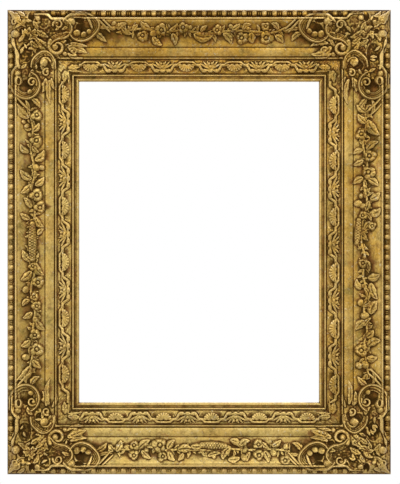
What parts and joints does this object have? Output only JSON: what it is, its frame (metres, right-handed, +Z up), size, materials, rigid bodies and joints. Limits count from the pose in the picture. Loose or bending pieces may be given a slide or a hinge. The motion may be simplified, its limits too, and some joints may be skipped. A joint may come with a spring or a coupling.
{
  "type": "picture frame",
  "caption": "Carved and gilded wooden picture frame with pierced scroll corners, flower sprays in a cove, a pearl edge and a lapped back frame with ring hangers and turn buttons.",
  "frame": {"origin": "middle of the opening on the wall plane, where the back of the wall pads rests", "axes": "+X to the right as seen from the front, +Z up, and the carved front faces -Y"},
  "size_m": [0.709, 0.0659, 0.859],
  "materials": {
    "carved_gilt": "carved wood, water gilt over red bole, rubbed and darkened in the hollows",
    "bright_gilt": "water gilt wood, burnished and worn",
    "oak": "old bare oak, planed and darkened",
    "oak_peg": "bare end grain",
    "steel_fixing": "dull, lightly tarnished",
    "steel_ring": "plated wire, dull",
    "brass_hanger": "aged brass",
    "brass_button": "aged brass",
    "cork": "cork agglomerate"
  },
  "bodies": {
    "frame": {"rail_top": "carved_gilt", "rail_right": "carved_gilt", "rail_bottom": "carved_gilt", "rail_left": "carved_gilt", "sight_slip_top": "bright_gilt", "sight_slip_right": "bright_gilt", "sight_slip_bottom": "bright_gilt", "sight_slip_left": "bright_gilt", "pearl_strip_top": "carved_gilt", "pearl_strip_right": "carved_gilt", "pearl_strip_bottom": "carved_gilt", "pearl_strip_left": "carved_gilt", "strap_band_top": "carved_gilt", "strap_band_right": "carved_gilt", "strap_band_bottom": "carved_gilt", "strap_band_left": "carved_gilt", "spray_top": "carved_gilt", "spray_right": "carved_gilt", "spray_bottom": "carved_gilt", "spray_left": "carved_gilt", "corner_top_left": "carved_gilt", "corner_top_right": "carved_gilt", "corner_bottom_right": "carved_gilt", "corner_bottom_left": "carved_gilt", "back_rail_top": "oak", "back_rail_right": "oak", "back_rail_bottom": "oak", "back_rail_left": "oak", "lap_pegs": "oak_peg", "mitre_keys": "oak_peg", "back_frame_screws": "steel_fixing", "wall_pads": "cork", "hanger_strap_left": "brass_hanger", "hanger_strap_right": "brass_hanger", "hanger_screws": "brass_hanger", "turn_button_washers": "steel_fixing", "turn_button_screws": "brass_button"},
    "hanger_ring_left": {"hanger_ring_left": "steel_ring"},
    "hanger_ring_right": {"hanger_ring_right": "steel_ring"},
    "turn_button_top": {"turn_button_top": "brass_button"},
    "turn_button_right_upper": {"turn_button_right_upper": "brass_button"},
    "turn_button_right_lower": {"turn_button_right_lower": "brass_button"},
    "turn_button_bottom": {"turn_button_bottom": "brass_button"},
    "turn_button_left_lower": {"turn_button_left_lower": "brass_button"},
    "turn_button_left_upper": {"turn_button_left_upper": "brass_button"}
  },
  "joints": [
    {"name": "hanger_ring_left_hinge", "type": "hinge", "parent": "frame", "child": "hanger_ring_left", "pos_m": [-0.2705, -0.0039, 0.145], "axis": [0, 0, 1], "range_deg": [0, 160]},
    {"name": "hanger_ring_right_hinge", "type": "hinge", "parent": "frame", "child": "hanger_ring_right", "pos_m": [0.2705, -0.0039, 0.145], "axis": [0, 0, -1], "range_deg": [0, 160]},
    {"name": "turn_button_top_pivot", "type": "hinge", "parent": "frame", "child": "turn_button_top", "pos_m": [0, -0.0049, 0.317], "axis": [0, 1, 0], "continuous": true},
    {"name": "turn_button_right_upper_pivot", "type": "hinge", "parent": "frame", "child": "turn_button_right_upper", "pos_m": [0.242, -0.0049, 0.19], "axis": [0, 1, 0], "continuous": true},
    {"name": "turn_button_right_lower_pivot", "type": "hinge", "parent": "frame", "child": "turn_button_right_lower", "pos_m": [0.242, -0.0049, -0.19], "axis": [0, 1, 0], "continuous": true},
    {"name": "turn_button_bottom_pivot", "type": "hinge", "parent": "frame", "child": "turn_button_bottom", "pos_m": [0, -0.0049, -0.317], "axis": [0, 1, 0], "continuous": true},
    {"name": "turn_button_left_lower_pivot", "type": "hinge", "parent": "frame", "child": "turn_button_left_lower", "pos_m": [-0.242, -0.0049, -0.19], "axis": [0, 1, 0], "continuous": true},
    {"name": "turn_button_left_upper_pivot", "type": "hinge", "parent": "frame", "child": "turn_button_left_upper", "pos_m": [-0.242, -0.0049, 0.19], "axis": [0, 1, 0], "continuous": true}
  ]
}
